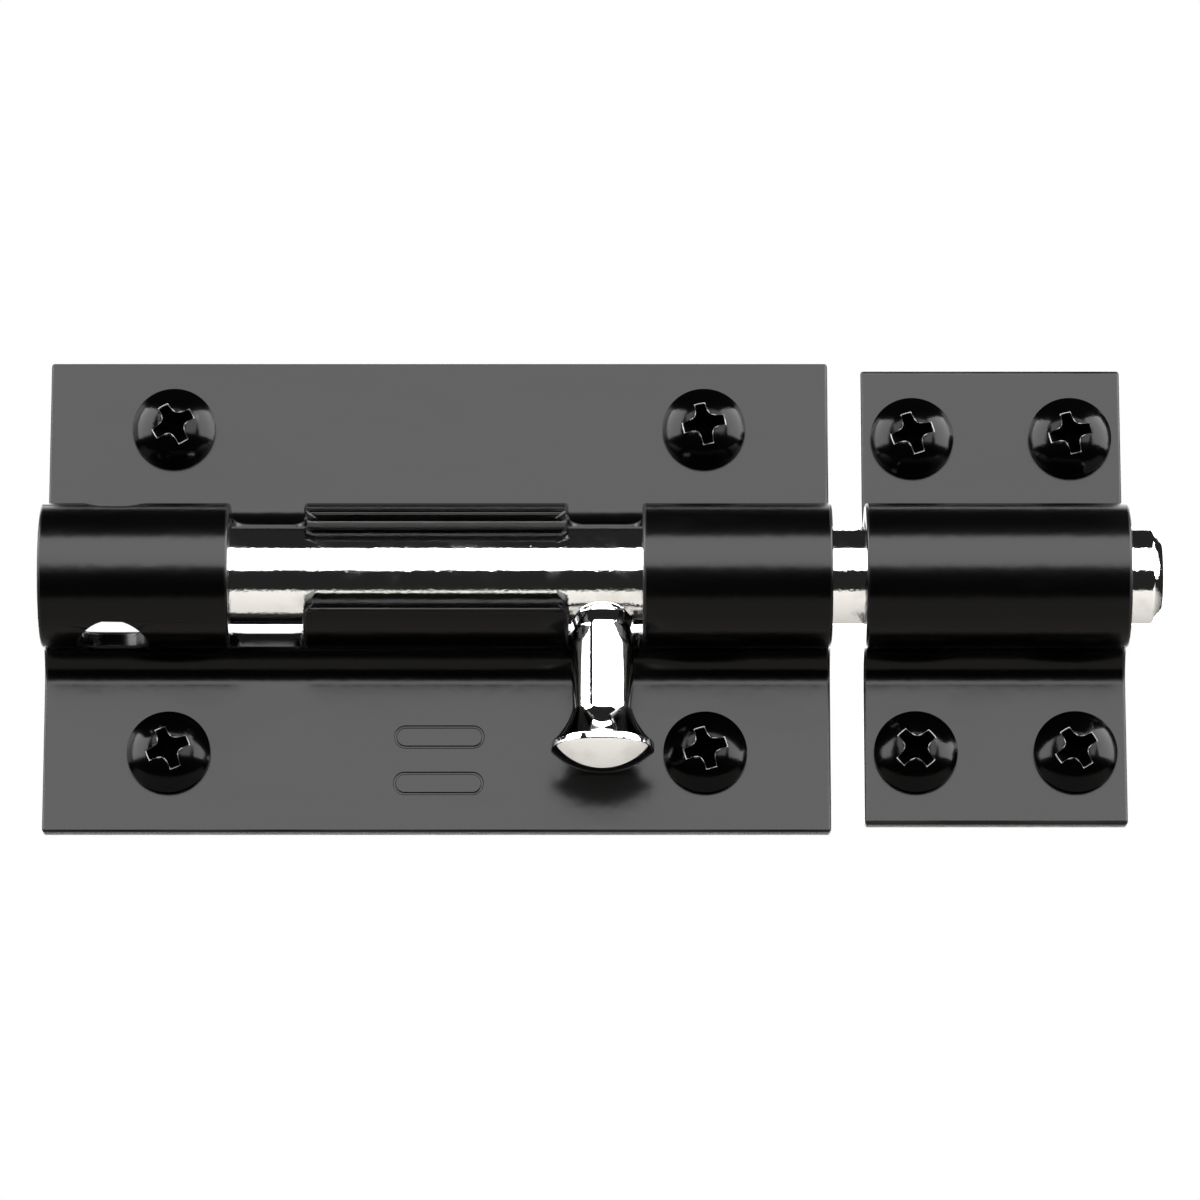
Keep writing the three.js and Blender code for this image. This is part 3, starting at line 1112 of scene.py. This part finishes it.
    def _paint_recess_shade(self, screw: Workpiece) -> None:
        """Marks the faces deep in the recess, which don't wear and carry painted shade: black, unreflective
        metal.
        """
        mesh = screw.obj.data
        mark = mesh.attributes[EDGE_MARK]
        deep = mesh.attributes.new(RECESS_SHADE_MARK, "FLOAT", "FACE")
        for face in mesh.polygons:
            across = math.hypot(face.center.x, face.center.z)
            if across < self.recess_half_span and face.center.y > self.wear_depth - self.head_height:
                mark.data[face.index].value = 0.0
                deep.data[face.index].value = 1.0


@dataclass
class ScrewSet:
    """All eight screws, each driven to its own angle; a positive one leans its upper arm to the left."""

    turns: dict[str, float] = field(
        default_factory=lambda: {
            "screw_case_lower_left": 22,
            "screw_case_lower_right": 17,
            "screw_case_upper_left": 30,
            "screw_case_upper_right": 12,
            "screw_keeper_lower_left": 42,
            "screw_keeper_lower_right": 32,
            "screw_keeper_upper_left": 18,
            "screw_keeper_upper_right": 14,
        }
    )
    screw: WoodScrew = field(default_factory=WoodScrew)

    def build(self, material: bpy.types.Material) -> None:
        """Makes one screw, copies it to each place, and dresses them all."""
        master = self.screw.master()
        for node, degrees in self.turns.items():
            low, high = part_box(node)
            seat = Vector(((low.x + high.x) / 2, low.y + self.screw.head_height, (low.z + high.z) / 2))
            piece = master.copy(node.replace("screw", "wood_screw"))
            turn = Matrix.Rotation(-math.radians(degrees), 4, "Y")
            piece.obj.data.transform(Matrix.Translation(seat) @ turn)
            piece.smooth(sharp_angle=30)
            piece.register(Body.CASE, Slot.SCREW, node, material)
        bpy.data.objects.remove(master.obj)


# -------- studio


@dataclass(frozen=True)
class Softbox:
    """A soft light that fills a stretch of the view from the bolt.

    Angles are degrees: azimuth turns from straight in front towards +X, elevation goes up.
    """

    name: str
    azimuth: tuple[float, float]
    elevation: tuple[float, float]
    strength: float
    distance: float = 1.30

    def hang(self) -> None:
        """Adds the light, facing the bolt."""
        turn = math.radians(sum(self.azimuth) / 2)
        rise = math.radians(sum(self.elevation) / 2)
        half_turn = math.radians(self.azimuth[1] - self.azimuth[0]) / 2
        half_rise = math.radians(self.elevation[1] - self.elevation[0]) / 2
        away = Vector((math.sin(turn) * math.cos(rise), -math.cos(turn) * math.cos(rise), math.sin(rise)))
        data = bpy.data.lights.new(self.name, "AREA")
        data.shape = "RECTANGLE"
        data.size = 2 * self.distance * math.tan(half_turn)
        data.size_y = 2 * self.distance * math.tan(half_rise)
        data.energy = self.strength * data.size * data.size_y
        light = bpy.data.objects.new(self.name, data)
        light.location = away * self.distance
        light.rotation_euler = away.to_track_quat("Z", "Y").to_euler()
        light.visible_camera = False
        bpy.context.scene.collection.objects.link(light)


@dataclass
class Studio:
    """Camera, soft lights, pale floor and plain white surroundings."""

    look_at: Vector = field(default_factory=lambda: Vector((21.03 * MM, 0, 0)))
    distance: float = 974.8 * MM
    pitch: float = 16.5           # degrees that the camera looks up
    lens: float = 224.8           # millimetres, as is the sensor's width
    sensor_width: float = 36.0
    floor_height: float = -0.40
    floor_front: float = -0.33
    floor_back: float = 1.6
    floor_half_width: float = 1.6
    dark: float = 0.02
    boxes: tuple[Softbox, ...] = (
        Softbox("front_softbox", (-33.0, 46.0), (-2.0, 48.0), 38.0),
        Softbox("left_softbox", (-84.0, -48.0), (-2.0, 48.0), 60.0),
        Softbox("far_left_softbox", (-114.0, -85.0), (-2.0, 48.0), 12.0),
        Softbox("right_softbox", (51.0, 91.0), (-2.0, 48.0), 60.0),
        Softbox("back_light", (140.0, 220.0), (-12.0, 62.0), 11.0),
    )

    def place_camera(self) -> None:
        """Puts the camera in front of the bolt, a little below it and looking up."""
        rise = math.radians(self.pitch)
        data = bpy.data.cameras.new("camera")
        data.lens = self.lens
        data.sensor_width = self.sensor_width
        camera = bpy.data.objects.new("camera", data)
        camera.location = self.look_at - Vector((0, math.cos(rise), math.sin(rise))) * self.distance
        camera.rotation_euler = (QUARTER_TURN + rise, 0, 0)
        bpy.context.scene.collection.objects.link(camera)
        bpy.context.scene.camera = camera

    def lay_floor(self) -> None:
        """Lays the pale floor well below the bolt."""
        middle = (self.floor_front + self.floor_back) / 2
        bpy.ops.object.select_all(action="DESELECT")
        bpy.ops.mesh.primitive_plane_add(size=1.0, location=(0, middle, self.floor_height))
        bpy.context.object.scale = (2 * self.floor_half_width, self.floor_back - self.floor_front, 1)
        floor = Workpiece("studio_floor")
        floor.obj.data.materials.append(PaleFloor().material())

    def light_surroundings(self) -> None:
        """Gives a white background that adds next to no light of its own."""
        world = bpy.data.worlds.new("surroundings")
        bpy.context.scene.world = world
        world.use_nodes = True
        tree = world.node_tree
        path = tree.nodes.new("ShaderNodeLightPath")
        mix = tree.nodes.new("ShaderNodeMix")
        mix.data_type = "RGBA"
        mix.inputs[6].default_value = (self.dark, self.dark, self.dark, 1)
        mix.inputs[7].default_value = (1, 1, 1, 1)
        tree.links.new(path.outputs["Is Camera Ray"], mix.inputs[0])
        tree.links.new(mix.outputs[2], tree.nodes["Background"].inputs["Color"])

    def set_up(self) -> None:
        """Sets everything up."""
        self.place_camera()
        self.lay_floor()
        self.light_surroundings()
        for box in self.boxes:
            box.hang()
        bpy.context.scene.view_settings.view_transform = "Standard"


# -------- assembly


def screws_of(owner: str) -> list[str]:
    """The CAD nodes of the screws that hold the case or the keeper."""
    return [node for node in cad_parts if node.startswith(f"screw_{owner}_")]


def main() -> None:
    """Builds the bolt, piece by piece, and the studio round it."""
    logging.basicConfig(level=logging.INFO, format="%(message)s", stream=sys.stdout)
    section = Section()
    enamel = BlackEnamel().material()
    plating = BrightPlating().material()
    polish = BrightPlating("polished_plating", pit_depth=1.2 * MICRON, draw_depth=0.2 * MICRON)
    coat = BlackScrewCoat().material()
    Studio().set_up()
    CasePlate("case", "case_plate", section).build(screws_of("case"), enamel)
    PressedPlate("keeper", "keeper_plate", section).build(screws_of("keeper"), enamel)
    SlidingRod().build(plating)
    PullKnob(section).build(polish.material())
    ScrewSet().build(coat)


if __name__ == "__main__":
    main()
